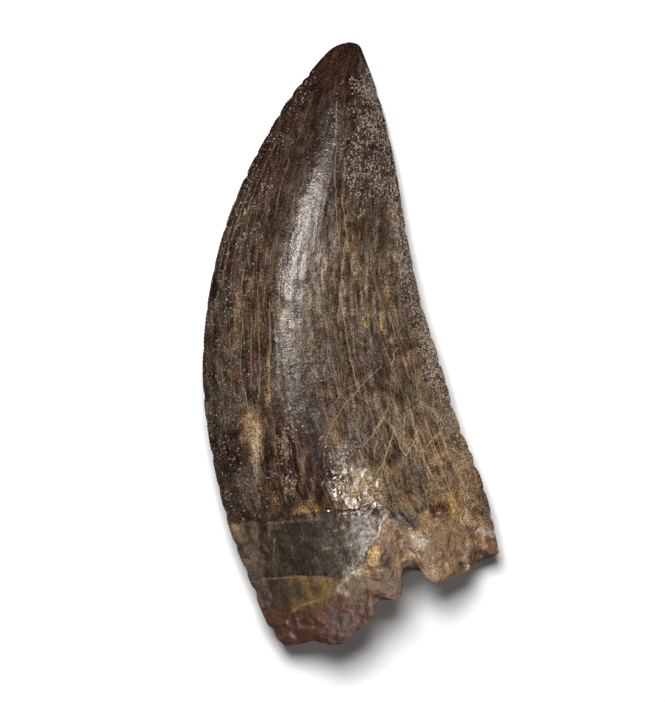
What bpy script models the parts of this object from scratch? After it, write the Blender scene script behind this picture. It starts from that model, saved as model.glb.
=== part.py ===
"""A fossil tooth of a large meat-eating dinosaur, lying on its side: one solid with a broken base.

The tooth lies on the XY plane with its tip towards +Y and its convex front edge towards -X. It is
lofted from the tip to the broken base. Every section is a lens that spans from the left carina to the
right one, and the break is closed by a rough face with a shallow hollow where the pulp cavity was.
"""

import math

import bmesh
import bpy
import numpy as np
from mathutils import Vector, noise

MM = 0.001

# Outline seen from above, in millimetres. Both edges start at the tip.
LEFT_EDGE = [
    (-0.2, 44.5), (-1.9, 44.0), (-3.5, 42.9), (-6.2, 39.8), (-9.4, 35.7), (-12.8, 29.9), (-16.0, 23.6),
    (-19.1, 15.2), (-21.2, 5.0), (-21.8, -5.5), (-20.7, -15.2), (-18.2, -26.3), (-15.2, -34.2),
    (-12.5, -40.8), (-11.4, -42.0), (-10.7, -43.5), (-9.6, -44.5),
]
RIGHT_EDGE = [
    (-0.2, 44.5), (1.2, 44.0), (2.0, 42.3), (4.3, 35.8), (6.4, 27.0), (8.4, 15.2), (10.4, 5.8),
    (13.1, -2.6), (15.8, -11.6), (18.6, -18.2), (20.5, -24.4), (21.4, -29.0), (21.8, -30.9),
]

# How far the break reaches past the straight line between the corners of the base, in millimetres,
# against the share of the way from the left corner to the right one.
TOP_RIM = [
    (0.0, 0.0), (0.06, 0.55), (0.12, 0.8), (0.18, 2.3), (0.23, 2.9), (0.285, 2.1), (0.355, 1.7),
    (0.4, 0.95), (0.425, -0.6), (0.455, -1.1), (0.5, -0.3), (0.537, -0.1), (0.56, -1.3), (0.578, -2.9),
    (0.6, -3.9), (0.63, -3.8), (0.655, -3.2), (0.67, -1.2), (0.695, 0.1), (0.75, 0.3), (0.85, 0.35),
    (0.885, -0.7), (0.915, -1.5), (0.945, -1.3), (0.965, -0.3), (1.0, 0.0),
]
UNDER_RIM = [
    (0.0, 0.0), (0.1, -0.4), (0.25, 0.9), (0.38, -0.5), (0.5, -1.7), (0.58, -2.5), (0.6, -2.95),
    (0.63, -2.7), (0.66, -2.0), (0.74, -1.3), (0.85, -0.8), (0.93, 0.2), (1.0, 0.0),
]
RIM_BLEND_FROM = 0.8

# Thickness of the blade as a share of its width: almost round at the tip, flat along the crown.
CROWN_FLATNESS = 0.44
TIP_ROUNDNESS = 0.5
TIP_WIDTH = 4.0
BASE_EXTRA_THICKNESS = 1.6
SHARE_ABOVE_EDGES = 0.57

# Against the share of the length from the tip: where the crest runs on the upper face, how far the
# underside stands off the ground before it is set down, and how much higher the right edge is.
CREST_PLACE = [(0.0, 0.5), (0.15, 0.52), (0.35, 0.46), (0.55, 0.4), (0.75, 0.42), (1.0, 0.48)]
UNDER_ARCH = [
    (0.0, 0.7), (0.06, 0.75), (0.2, 1.3), (0.45, 2.0), (0.65, 1.4), (0.8, 0.0), (0.88, 0.0), (1.0, 0.9),
]
RIGHT_EDGE_RISE = [(0.0, 0.0), (0.3, 0.7), (0.6, 1.1), (1.0, 0.3)]

# The underside is full on both sides of a long shallow dip, so the tooth rests on three places: the
# tip and one on each side near the base. It is set down a little way, which leaves them flat.
UNDER_DIP_DEPTH = 1.3
UNDER_DIP_HALF_WIDTH = 0.22
UNDER_DIP_FROM = 0.45
TIP_REST_ENDS = 0.1
BASE_REST_BEGINS = 0.72
SET_DOWN = 0.15

# On the upper face, where the enamel ends, and the bulge of the crown just above that line.
ENAMEL_END = [
    (-22.0, -25.0), (-16.0, -26.6), (-11.2, -25.8), (-4.6, -24.9), (4.3, -23.8), (5.4, -25.6),
    (7.2, -26.4), (9.0, -27.8), (10.2, -25.6), (13.0, -25.2), (16.0, -23.4), (19.0, -21.4), (22.0, -21.0),
]
ENAMEL_STEP = 0.4
CROWN_BULGE = (-0.5, -21.5, 7.0, 0.55)
LOWER_LEDGE = [(-22.0, -33.0), (-12.0, -34.4), (-7.5, -33.9), (-0.9, -34.2), (2.5, -33.0), (22.0, -33.0)]
LOWER_LEDGE_STEP = 0.3
LOWER_LEDGE_ENDS_AT = 2.5

# Pits and knobs on the upper face: x, y, radius and height in millimetres.
PITS_AND_KNOBS = [
    (5.6, -32.9, 1.0, -1.0), (16.1, -32.6, 1.0, -0.9), (18.4, -31.2, 1.1, -1.1), (3.4, -32.2, 1.1, 0.5),
    (9.5, -27.9, 1.3, 0.45), (-8.3, -42.0, 2.2, 0.7), (-2.6, -41.6, 2.4, 0.8), (-5.6, -41.5, 1.0, -0.9),
    (13.5, -30.5, 2.0, 0.4), (20.0, -28.5, 1.3, 0.35),
]

# Rough parts, in millimetres of height for each patch of lumps.
MATRIX_LUMPS = 0.6
ROOT_LUMPS = 0.3
CROWN_LUMPS = 0.06
BREAK_LUMPS = 1.0
HOLLOW_DEPTH = 2.6

# Chips out of the carinae: share of the length, depth and half width in millimetres.
LEFT_CHIPS = [
    (0.085, 0.35, 0.8), (0.118, 0.45, 1.0), (0.165, 0.3, 1.2), (0.212, 0.35, 0.9), (0.262, 0.45, 1.1),
    (0.33, 0.2, 1.4), (0.41, 0.18, 1.2), (0.6, 0.2, 1.3), (0.69, 0.25, 1.0), (0.78, 0.3, 1.2),
    (0.905, 0.4, 1.1),
]
RIGHT_CHIPS = [
    (0.12, 0.2, 1.0), (0.2, 0.15, 1.0), (0.38, 0.2, 0.9), (0.52, 0.25, 1.0), (0.63, 0.3, 0.8),
    (0.71, 0.35, 1.1), (0.765, 0.3, 0.7), (0.83, 0.4, 1.2), (0.93, 0.25, 0.8),
]
CHIP_REACH = 0.07

RINGS = 58
COLUMNS = 38
BREAK_ROWS = 8
SHARP_EDGE = math.radians(50.0)


def smooth_step(value, low, high):
    share = np.clip((value - low) / (high - low), 0.0, 1.0)
    return share * share * (3.0 - 2.0 * share)


def smooth_curve(points, per_span=24):
    """A Catmull-Rom curve through the points, as a fine polyline with the share of its length."""
    points = np.array(points, float)
    padded = np.vstack([2 * points[0] - points[1], points, 2 * points[-1] - points[-2]])
    share = np.linspace(0.0, 1.0, per_span, endpoint=False)[:, None]
    pieces = []
    for before, start, end, after in zip(padded, padded[1:], padded[2:], padded[3:]):
        pieces.append(
            start
            + 0.5 * share * (end - before)
            + share**2 * (before - 2.5 * start + 2.0 * end - 0.5 * after)
            + share**3 * (1.5 * (start - end) + 0.5 * (after - before))
        )
    line = np.vstack([*pieces, points[-1:]])
    travelled = np.concatenate([[0.0], np.cumsum(np.linalg.norm(np.diff(line, axis=0), axis=1))])
    return line, travelled / travelled[-1]


def along(curve, share):
    line, travelled = curve
    return np.stack([np.interp(share, travelled, line[:, axis]) for axis in (0, 1)], axis=-1)


def read_table(table, share):
    """The table's value at each share, smooth between its rows."""
    line = smooth_curve(table)[0]
    return np.interp(share, line[:, 0], line[:, 1])


def chip_depth(chips, share, edge_length):
    """How far the chips cut into an edge."""
    depth = np.zeros_like(share)
    for place, deep, half_width in chips:
        depth += deep * np.exp(-(((share - place) * edge_length / half_width) ** 2))
    return depth


def lumps(points, size, octaves=3):
    """Fractal noise from about -1 to 1 with lumps of that size in millimetres."""
    flat = points.reshape(-1, 3) / size
    values = [noise.fractal(Vector(place), 0.8, 2.0, octaves) for place in flat]
    return np.array(values).reshape(points.shape[:-1])


def upper_lens(across, crest):
    """Height of the upper face over its edges as a share of the greatest: blunt left, keen right."""
    left = np.clip((crest - across) / crest, 0.0, 1.0)
    right = np.clip((across - crest) / (1.0 - crest), 0.0, 1.0)
    return np.where(across < crest, (1.0 - left**2.2) ** 0.85, 1.0 - right**1.95)


def under_lens(across):
    """Depth of the underside below the edges: fuller on the left, with a dip along the middle."""
    left = np.clip(1.0 - 2.0 * across, 0.0, 1.0)
    right = np.clip(2.0 * across - 1.0, 0.0, 1.0)
    return np.where(across < 0.5, (1.0 - left**4.5) ** 0.9, 1.0 - right**3.2)


def upper_relief(points, share, across):
    """What stands out of the smooth upper face: the end of the enamel, lumps, pits and knobs."""
    x, y = points[..., 0], points[..., 1]
    root = smooth_step(np.interp(x, *np.transpose(ENAMEL_END)) - y, -0.4, 0.7)
    ledge_share = 1.0 - smooth_step(x, LOWER_LEDGE_ENDS_AT, LOWER_LEDGE_ENDS_AT + 1.5)
    matrix = smooth_step(np.interp(x, *np.transpose(LOWER_LEDGE)) - y, -0.3, 0.8) * ledge_share
    bulge_x, bulge_y, bulge_radius, bulge_height = CROWN_BULGE
    bulge = bulge_height * np.exp(-((x - bulge_x) ** 2 + (y - bulge_y) ** 2) / bulge_radius**2)
    height = bulge - ENAMEL_STEP * root - LOWER_LEDGE_STEP * matrix
    rough = CROWN_LUMPS + (ROOT_LUMPS - CROWN_LUMPS) * root * smooth_step(x, 0.0, 8.0)
    rough = rough + (MATRIX_LUMPS - ROOT_LUMPS) * smooth_step(share, 0.93, 1.0)
    height = height + rough * lumps(points, 3.5)
    for knob_x, knob_y, radius, knob_height in PITS_AND_KNOBS:
        height = height + knob_height * np.exp(-((x - knob_x) ** 2 + (y - knob_y) ** 2) / radius**2)
    return height * smooth_step(np.minimum(across, 1.0 - across), 0.0, 0.06)


def under_relief(points, share, across, clearance):
    """Lumps on the underside and the groove where its enamel ends, away from where the tooth rests."""
    groove = -0.35 * np.exp(-(((share - 0.79 - 0.04 * np.sin(9.0 * across)) / 0.012) ** 2))
    rough = CROWN_LUMPS + MATRIX_LUMPS * smooth_step(share, 0.9, 1.0)
    depth = groove + rough * lumps(points + 40.0, 3.5)
    free = smooth_step(clearance, 0.3, 1.6)
    return depth * free * smooth_step(np.minimum(across, 1.0 - across), 0.0, 0.06)


def face_points(share, across, upper):
    """Points of the upper or the under face: share runs from the tip, across from left to right."""
    left_curve, right_curve = smooth_curve(LEFT_EDGE), smooth_curve(RIGHT_EDGE)
    left, right = along(left_curve, share), along(right_curve, share)
    span = right - left
    width = np.linalg.norm(span, axis=-1)
    inward = span / np.maximum(width, 1e-6)[..., None]

    rim = np.interp(across, *np.transpose(TOP_RIM if upper else UNDER_RIM))
    place = left + span * across[..., None]
    place = place + break_direction() * (rim * smooth_step(share, RIM_BLEND_FROM, 1.0))[..., None]
    cut_left = chip_depth(LEFT_CHIPS, share, 97.0) * np.clip(1.0 - across / CHIP_REACH, 0.0, 1.0)
    cut_right = chip_depth(RIGHT_CHIPS, share, 79.0) * np.clip(1.0 - (1.0 - across) / CHIP_REACH, 0.0, 1.0)
    place = place + inward * (cut_left - cut_right)[..., None]

    flatness = CROWN_FLATNESS + TIP_ROUNDNESS * np.exp(-width / TIP_WIDTH)
    thickness = width * flatness + BASE_EXTRA_THICKNESS * smooth_step(share, 0.55, 0.85)
    above = thickness * SHARE_ABOVE_EDGES
    below = thickness - above
    edge_rise = read_table(RIGHT_EDGE_RISE, share) * (across - 0.5) * np.clip(width / 20.0, 0.0, 1.0)
    edge_height = read_table(UNDER_ARCH, share) + below + edge_rise
    if upper:
        height = edge_height + above * upper_lens(across, read_table(CREST_PLACE, share))
        points = np.concatenate([place, height[..., None]], axis=-1)
        points[..., 2] += upper_relief(points, share, across)
    else:
        dip = np.exp(-(((across - 0.5) / UNDER_DIP_HALF_WIDTH) ** 2)) * np.sin(np.pi * across)
        dip = dip * UNDER_DIP_DEPTH * smooth_step(share, UNDER_DIP_FROM, 0.75)
        height = edge_height - below * under_lens(across) + dip
        points = np.concatenate([place, height[..., None]], axis=-1)
        points[..., 2] -= under_relief(points, share, across, height)
    return points


def ground_plane(under, share, across):
    """The plane z = a + b x + c y under the three places that the tooth rests on."""
    base = share > BASE_REST_BEGINS
    zones = (share < TIP_REST_ENDS, base & (across < 0.5), base & (across > 0.5))
    lowest = np.array([min(under[zone], key=lambda place: place[2]) for zone in zones])
    return np.linalg.solve(np.column_stack([np.ones(3), lowest[:, :2]]), lowest[:, 2])


def break_direction():
    """The direction in the XY plane that the break faces."""
    corners = np.subtract(RIGHT_EDGE[-1], LEFT_EDGE[-1])
    return np.array([corners[1], -corners[0]]) / np.linalg.norm(corners)


def break_points(upper_rim, under_rim, across):
    """The broken face between the two rims, rough, with the hollow of the pulp cavity."""
    down = np.linspace(0.0, 1.0, BREAK_ROWS + 1)[:, None]
    points = upper_rim * (1.0 - down[..., None]) + under_rim * down[..., None]
    inside = np.sin(np.pi * down) * smooth_step(np.minimum(across, 1.0 - across), 0.0, 0.08)
    hollow = np.exp(-(((across - 0.47) / 0.26) ** 4)) * np.exp(-(((down - 0.5) / 0.27) ** 4))
    push = BREAK_LUMPS * lumps(points, 4.0) * inside - HOLLOW_DEPTH * hollow
    points[..., :2] += break_direction() * push[..., None]
    return points


def ring_shares():
    """Shares of the length for the rings, closer together at the tip and at the broken base."""
    fine = np.linspace(0.0, 1.0, 2001)
    density = 1.0 + 3.0 * np.exp(-((fine / 0.05) ** 2)) + 1.2 * smooth_step(fine, 0.75, 0.9)
    counted = np.concatenate([[0.0], np.cumsum((density[1:] + density[:-1]) / 2)])
    return np.interp(np.linspace(0.0, 1.0, RINGS + 1), counted / counted[-1], fine)


def grid_to_bmesh(bm, points):
    rows = [[bm.verts.new(Vector(place) * MM) for place in row] for row in points]
    for row, next_row in zip(rows, rows[1:]):
        for a, b, c, d in zip(row, row[1:], next_row[1:], next_row):
            bm.faces.new((a, b, c, d))


def build_mesh():
    columns = np.linspace(0.0, 1.0, COLUMNS + 1)
    columns = 0.4 * (1.0 - np.cos(np.pi * columns)) / 2 + 0.6 * columns
    share, across = np.meshgrid(ring_shares(), columns, indexing="ij")
    upper = face_points(share, across, True)
    under = face_points(share, across, False)
    ground = ground_plane(under, share, across)
    for face in (upper, under):
        beneath = ground[0] + face[..., :2] @ ground[1:]
        face[..., 2] = np.maximum(face[..., 2] - beneath - SET_DOWN, 0.0)
        face[0] = face[0].mean(axis=0)
    under[0] = upper[0]
    under[:, 0] = upper[:, 0]
    under[:, -1] = upper[:, -1]
    broken = break_points(upper[-1], under[-1], columns)

    bm = bmesh.new()
    for grid in (upper, under, broken):
        grid_to_bmesh(bm, grid)
    bmesh.ops.remove_doubles(bm, verts=bm.verts, dist=0.002 * MM)
    bmesh.ops.recalc_face_normals(bm, faces=bm.faces)
    mesh = bpy.data.meshes.new("tooth")
    bm.to_mesh(mesh)
    bm.free()
    return mesh


def tooth_material():
    material = bpy.data.materials.new("fossil_tooth")
    material.use_nodes = True
    shader = material.node_tree.nodes["Principled BSDF"]
    shader.inputs["Base Color"].default_value = (0.095, 0.064, 0.043, 1.0)
    shader.inputs["Roughness"].default_value = 0.4
    shader.inputs["Metallic"].default_value = 0.0
    return material


def main():
    for old in list(bpy.data.objects):
        bpy.data.objects.remove(old)
    mesh = build_mesh()
    mesh.materials.append(tooth_material())
    mesh.shade_smooth()
    mesh.set_sharp_from_angle(angle=SHARP_EDGE)
    bpy.context.scene.collection.objects.link(bpy.data.objects.new("tooth", mesh))


main()
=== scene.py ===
"""The fossil tooth as it looks: a fine mesh of the worn enamel, the dark neck, the crusts and the break.

The form repeats the tooth's own sections, in millimetres, at about a quarter of a millimetre. The
lengthwise wrinkles, ledges, pits and grit are real relief. Colour is painted on the mesh from soft
patches, veins and noise, with painted sheen and glints low on the crown and painted shade in a cleft
and a hole of the base, and the material adds the finest grain, the pale speckles, which stand partly
for painted glints, and the gloss.
"""

import math

import bpy
import numpy as np
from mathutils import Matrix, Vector, noise


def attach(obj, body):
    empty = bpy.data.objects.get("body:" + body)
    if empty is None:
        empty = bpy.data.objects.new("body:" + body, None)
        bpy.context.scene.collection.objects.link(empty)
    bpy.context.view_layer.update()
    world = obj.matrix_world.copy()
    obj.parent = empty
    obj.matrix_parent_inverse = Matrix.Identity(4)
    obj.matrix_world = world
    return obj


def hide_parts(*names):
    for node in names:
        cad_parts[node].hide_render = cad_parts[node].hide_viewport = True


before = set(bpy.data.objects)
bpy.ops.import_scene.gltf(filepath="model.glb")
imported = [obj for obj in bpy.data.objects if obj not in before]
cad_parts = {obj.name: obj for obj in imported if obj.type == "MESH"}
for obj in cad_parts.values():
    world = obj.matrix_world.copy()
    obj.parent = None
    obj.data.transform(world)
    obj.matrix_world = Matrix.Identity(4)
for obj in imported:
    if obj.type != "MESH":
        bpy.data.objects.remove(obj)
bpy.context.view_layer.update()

MM = 0.001

# Form

LEFT_EDGE = [
    (-0.2, 44.5), (-1.9, 44), (-3.5, 42.9), (-6.2, 39.8), (-9.4, 35.7), (-12.8, 29.9), (-16, 23.6),
    (-19.1, 15.2), (-21.2, 5), (-21.8, -5.5), (-20.7, -15.2), (-18.2, -26.3), (-15.2, -34.2),
    (-12.5, -40.8), (-11.4, -42), (-10.7, -43.5), (-9.6, -44.5),
]
RIGHT_EDGE = [
    (-0.2, 44.5), (1.2, 44), (2, 42.3), (4.3, 35.8), (6.4, 27), (8.4, 15.2), (10.4, 5.8), (13.1, -2.6),
    (15.8, -11.6), (18.6, -18.2), (20.5, -24.4), (21.4, -29), (21.8, -30.9),
]
TOP_RIM = [
    (0, 0), (0.06, 0.55), (0.12, 0.8), (0.18, 2.3), (0.23, 2.9), (0.285, 2.1), (0.355, 1.7), (0.4, 0.95),
    (0.425, -0.6), (0.455, -1.1), (0.5, -0.3), (0.537, -0.1), (0.56, -1.3), (0.578, -2.9), (0.6, -3.9),
    (0.63, -3.8), (0.655, -3.2), (0.67, -1.2), (0.695, 0.1), (0.75, 0.3), (0.85, 0.35), (0.885, -0.7),
    (0.915, -1.5), (0.945, -1.3), (0.965, -0.3), (1, 0),
]
UNDER_RIM = [
    (0, 0), (0.1, -0.4), (0.25, 0.9), (0.38, -0.5), (0.5, -1.7), (0.58, -2.5), (0.6, -2.95), (0.63, -2.7),
    (0.66, -2), (0.74, -1.3), (0.85, -0.8), (0.93, 0.2), (1, 0),
]
RIM_BLEND_FROM = 0.8
CROWN_FLATNESS = 0.44
TIP_ROUNDNESS = 0.5
TIP_WIDTH = 4
BASE_EXTRA_THICKNESS = 1.6
SHARE_ABOVE_EDGES = 0.57
CREST_PLACE = [
    (0, 0.5), (0.15, 0.56), (0.25, 0.5), (0.37, 0.44), (0.58, 0.35), (0.7, 0.38), (0.8, 0.46), (1, 0.5),
]
UNDER_ARCH = [(0, 0.7), (0.06, 0.75), (0.2, 1.3), (0.45, 2), (0.65, 1.4), (0.8, 0), (0.88, 0), (1, 0.9)]
RIGHT_EDGE_RISE = [(0, 0), (0.3, 0.7), (0.6, 1.1), (1, 0.3)]
FULL_RISE_WIDTH = 20
UNDER_DIP_DEPTH = 1.3
UNDER_DIP_HALF_WIDTH = 0.22
UNDER_DIP_FROM = 0.45
UNDER_ENAMEL_END = 0.79
TIP_REST_ENDS = 0.1
BASE_REST_BEGINS = 0.72
SET_DOWN = 0.15
LEFT_LENGTH = 97
RIGHT_LENGTH = 79
MIDDLE_LENGTH = 88
MIDDLE_WIDTH = 30

# Chips of the edges: share of the length, depth and half width in millimetres.
LEFT_CHIPS = [
    (0.085, 0.3, 0.45), (0.1, 0.22, 0.35), (0.125, 0.25, 0.5), (0.158, 0.22, 0.4), (0.19, 0.15, 0.5),
    (0.226, 0.2, 0.4), (0.262, 0.3, 0.4), (0.3, 0.12, 0.6), (0.345, 0.15, 0.5), (0.41, 0.12, 0.6),
    (0.47, 0.1, 0.5), (0.53, 0.12, 0.6), (0.6, 0.18, 0.7), (0.64, 0.12, 0.5), (0.69, 0.2, 0.6),
    (0.74, 0.15, 0.5), (0.78, 0.25, 0.7), (0.83, 0.2, 0.5), (0.87, 0.2, 0.6), (0.905, 0.35, 0.8),
]
RIGHT_CHIPS = [
    (0.12, 0.2, 0.6), (0.2, 0.12, 0.6), (0.27, 0.1, 0.4), (0.33, 0.1, 0.5), (0.38, 0.2, 0.5),
    (0.45, 0.12, 0.4), (0.52, 0.2, 0.6), (0.58, 0.15, 0.4), (0.63, 0.3, 0.6), (0.67, 0.15, 0.4),
    (0.71, 0.3, 0.7), (0.765, 0.3, 0.5), (0.8, 0.18, 0.4), (0.83, 0.35, 0.8), (0.88, 0.2, 0.5),
    (0.93, 0.25, 0.7), (0.96, 0.2, 0.4),
]
DENTICLE_PITCH = 0.58
DENTICLE_DEPTH = 0.09
CHIP_REACH = 0.07

# Zones of the upper face: the end of the enamel, the neck's dark band with its right edge, the ledge
# below it, and where the olive crust gives way to red matrix.
ENAMEL_END = [
    (-22, -25), (-16, -26.6), (-11.2, -25.8), (-4.6, -24.9), (4.3, -23.8), (5.4, -25.6), (7.2, -26.4),
    (9, -27.8), (10.2, -25.2), (12.5, -24.9), (14.6, -26), (17.5, -27.3), (22, -26.6),
]
ENAMEL_STEP = 0.4
LOWER_LEDGE = [(-22, -33), (-12, -34.4), (-7.5, -33.9), (-0.9, -34.2), (2.5, -33), (22, -33)]
LOWER_LEDGE_STEP = 0.3
LOWER_LEDGE_ENDS_AT = 2.5
TAN_RISE = 0.15
BAND_RIGHT_EDGE = [(-50, -3), (-34.2, -0.9), (-31.7, 2.5), (-29.7, 3.1), (-27.5, 4.3), (-25.3, 5), (0, 5)]
LEFT_CRUST_EDGE = [(-42, -11), (-36, -12.2), (-33, -12.8), (-30, -13.4), (-26.5, -13.6)]
MATRIX_BEGINS = [(-22, -37), (-9.7, -39), (-6.8, -37.8), (-4.9, -37.5), (-2.4, -36.4), (0, -35.2)]
KEEN_EDGE = (-0.1, 0.12)
SOFT_EDGE = (-0.2, 0.3)
CRUST_BEGINS = (25.6, 27)

# The swelling of the neck, then pits and knobs: x, y, radius and height in millimetres.
KNOBS = [
    (2.2, -27.3, 5.6, 1), (5.6, -32, 0.7, -0.5), (16.1, -32.6, 0.6, -0.9), (18.9, -31.2, 1, -0.7),
    (3.4, -32.2, 1.1, 0.2), (9.5, -27.9, 1.3, 0.25), (-9.8, -42.3, 1.6, 0.6), (-4, -42, 2.4, 0.8),
    (-7.9, -42.8, 0.7, -0.9), (3.9, -37.6, 0.8, -0.6), (21, -29.8, 0.4, -0.4), (-16.4, -28.2, 0.5, -0.3),
    (13.5, -30.5, 2, 0.4), (20, -28.5, 1.3, 0.35),
]
MATRIX_LUMPS = 0.6
ROOT_LUMPS = 0.3
CROWN_LUMPS = 0.06
BREAK_LUMPS = 1
HOLLOW_DEPTH = 2.6
WRINKLE_DEPTH = 0.035
SHINY_WRINKLE_DEPTH = 0.27

# Round places: x, y, half width and half height.
SHINY_PLACE = (0.7, -22, 4.9, 4.5)
CALM_PLACE = (-8.5, -18, 5.5, 9)
HALF_CALM_PLACE = (-4, -11, 4, 6)
SHINE_ON_BAND = 0.4

RINGS = 400
UPPER_COLUMNS = 150
UNDER_COLUMNS = 70
BREAK_ROWS = 24
SHARP_EDGE = math.radians(55)


def rise(value, low, high):
    """A smooth rise from nought at the low value to one at the high."""
    share = np.clip((value - low) / (high - low), 0, 1)
    return share * share * (3 - 2 * share)


def fall(value, low, high):
    return 1 - rise(value, low, high)


def inside_edges(across, reach):
    """One inside the face, falling to nought at its left and right edges."""
    return rise(np.minimum(across, 1 - across), 0, reach)


def smooth_curve(points, per_span=24):
    """A smooth curve through the points, as a fine polyline with the share of its length."""
    points = np.array(points, float)
    padded = np.vstack([2 * points[0] - points[1], points, 2 * points[-1] - points[-2]])
    share = np.linspace(0, 1, per_span, endpoint=False)[:, None]
    pieces = []
    for before, start, end, after in zip(padded, padded[1:], padded[2:], padded[3:]):
        pieces.append(
            start
            + 0.5 * share * (end - before)
            + share**2 * (before - 2.5 * start + 2 * end - 0.5 * after)
            + share**3 * (1.5 * (start - end) + 0.5 * (after - before))
        )
    line = np.vstack([*pieces, points[-1:]])
    travelled = np.concatenate([[0], np.cumsum(np.linalg.norm(np.diff(line, axis=0), axis=1))])
    return line, travelled / travelled[-1]


def along(curve, share):
    line, travelled = curve
    return np.stack([np.interp(share, travelled, line[:, axis]) for axis in (0, 1)], axis=-1)


def read_table(table, share):
    """The table's value at each share, smooth between its rows."""
    line = smooth_curve(table)[0]
    return np.interp(share, line[:, 0], line[:, 1])


def line_at(table, place):
    """The table's value at each place, straight between its rows."""
    return np.interp(place, *np.transpose(table))


def edge_cut(chips, share, from_edge, length):
    """How far the chips cut into an edge, with its fine worn saw teeth between tip and base."""
    wave = 0.5 - 0.5 * np.cos(2 * np.pi * share * length / DENTICLE_PITCH)
    cut = DENTICLE_DEPTH * wave * rise(share, 0.05, 0.12) * fall(share, 0.85, 0.93)
    for place, deep, half_width in chips:
        cut = cut + deep * np.exp(-(((share - place) * length / half_width) ** 2))
    return cut * np.clip(1 - from_edge / CHIP_REACH, 0, 1) ** 2


def lumps(points, size, octaves=3):
    """Fractal noise from about -1 to 1 with lumps of that size in millimetres."""
    flat = (points / size).reshape(-1, 3)
    values = [noise.fractal(Vector(place), 0.8, 2, octaves) for place in flat]
    return np.array(values).reshape(points.shape[:-1])


def wrinkles(grain):
    """Fine folds along the tooth."""
    return lumps(grain * [1, 0.09, 1], 0.75, 2)


def upper_lens(across, crest):
    """Height of the upper face over its edges as a share of the greatest: blunt left, keen right."""
    left = np.clip((crest - across) / crest, 0, 1)
    right = np.clip((across - crest) / (1 - crest), 0, 1)
    return np.where(across < crest, (1 - left**1.95) ** 0.88, 1 - right**1.8)


def under_lens(across):
    """Depth of the underside below the edges, fuller on the left."""
    left = np.clip(1 - 2 * across, 0, 1)
    right = np.clip(2 * across - 1, 0, 1)
    return np.where(across < 0.5, (1 - left**4.5) ** 0.9, 1 - right**3.2)


def zones_of(points):
    """Soft masks of the upper face's zones, with edges that wander a little."""
    x, y = points[..., 0], points[..., 1]
    wander = 0.7 * lumps(points, 1.8, 4)
    root = rise(line_at(ENAMEL_END, x) - y + wander, *KEEN_EDGE)
    right_of_band = rise(x - line_at(BAND_RIGHT_EDGE, y) + wander, *KEEN_EDGE)
    ledge = rise(line_at(LOWER_LEDGE, x) - y + 0.5 * wander, *KEEN_EDGE)
    red = rise(line_at(MATRIX_BEGINS, x) - y + wander, *SOFT_EDGE)
    left = rise(line_at(LEFT_CRUST_EDGE, y) - x + wander, *SOFT_EDGE)
    left = left * rise(-y, *CRUST_BEGINS)
    inside = root * (1 - right_of_band) * (1 - left)
    return {
        "root": root,
        "band": inside * (1 - ledge),
        "olive": inside * ledge * (1 - red),
        "red": root * red * (1 - right_of_band * rise(y, -37, -34)),
        "tan": root * right_of_band,
        "left": root * left * (1 - red),
        "ledge": ledge,
    }


def upper_relief(points, share, across, grain):
    """What stands out of the smooth upper face: the end of the enamel, lumps, pits and knobs."""
    x, y = points[..., 0], points[..., 1]
    zone = zones_of(points)
    root = zone["root"]
    ledge = zone["ledge"] * fall(x, LOWER_LEDGE_ENDS_AT, LOWER_LEDGE_ENDS_AT + 1.5) * root
    rough = CROWN_LUMPS + (ROOT_LUMPS - CROWN_LUMPS) * root * rise(x, 0, 8)
    rough = rough + (MATRIX_LUMPS - ROOT_LUMPS) * rise(share, 0.93, 1)
    height = TAN_RISE * zone["tan"] - ENAMEL_STEP * root - LOWER_LEDGE_STEP * ledge
    height = height + rough * lumps(points, 3.5) + fine_relief(points, grain, zone)
    for knob_x, knob_y, radius, knob_height in KNOBS:
        height = height + knob_height * np.exp(-((x - knob_x) ** 2 + (y - knob_y) ** 2) / radius**2)
    ragged = 0.25 * lumps(points + 60, 1)
    for colour, strength, lift, outline in SHAPES:
        if lift:
            height = height + 0.6 * lift * rise(outline_depth(x, y, outline) + ragged, -0.1, 0.15)
    return height * inside_edges(across, 0.06)


def fine_relief(points, grain, zone):
    """Lengthwise wrinkles of the enamel and the grit of the root and the matrix."""
    fine = lumps(points, 0.55, 2)
    coarse = np.clip(zone["tan"] + zone["red"] + zone["left"], 0, 1)
    band = zone["band"] * (0.05 + 0.05 * rise(points[..., 0], -2, 3))
    shiny = SHINY_WRINKLE_DEPTH * lumps(points * [1, 0.7, 1] + 9, 0.75, 3)
    return (
        (1 - zone["root"]) * (WRINKLE_DEPTH * wrinkles(grain) + 0.02 * fine)
        + shiny_mask(points, zone) * shiny
        + coarse * (0.16 * lumps(points + 5, 1.2) + 0.1 * fine)
        + zone["olive"] * 0.08 * lumps(points, 0.9)
        + band * lumps(points, 0.8)
    )


def round_place(x, y, centre_x, centre_y, half_width, half_height):
    return np.exp(-((((x - centre_x) / half_width) ** 2 + ((y - centre_y) / half_height) ** 2) ** 2))


def shiny_mask(points, zone):
    """The wrinkled glossy place above the neck, weaker on the dark band."""
    bare = 1 - zone["root"] + SHINE_ON_BAND * zone["band"]
    return bare * round_place(points[..., 0], points[..., 1], *SHINY_PLACE)


def calm_mask(points):
    """The dark place low on the left, where the enamel is smoothest and catches no light."""
    wander = 2 * lumps(points + 80, 3)
    x, y = points[..., 0] + wander, points[..., 1] - wander
    return np.maximum(round_place(x, y, *CALM_PLACE), 0.4 * round_place(x, y, *HALF_CALM_PLACE))


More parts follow.
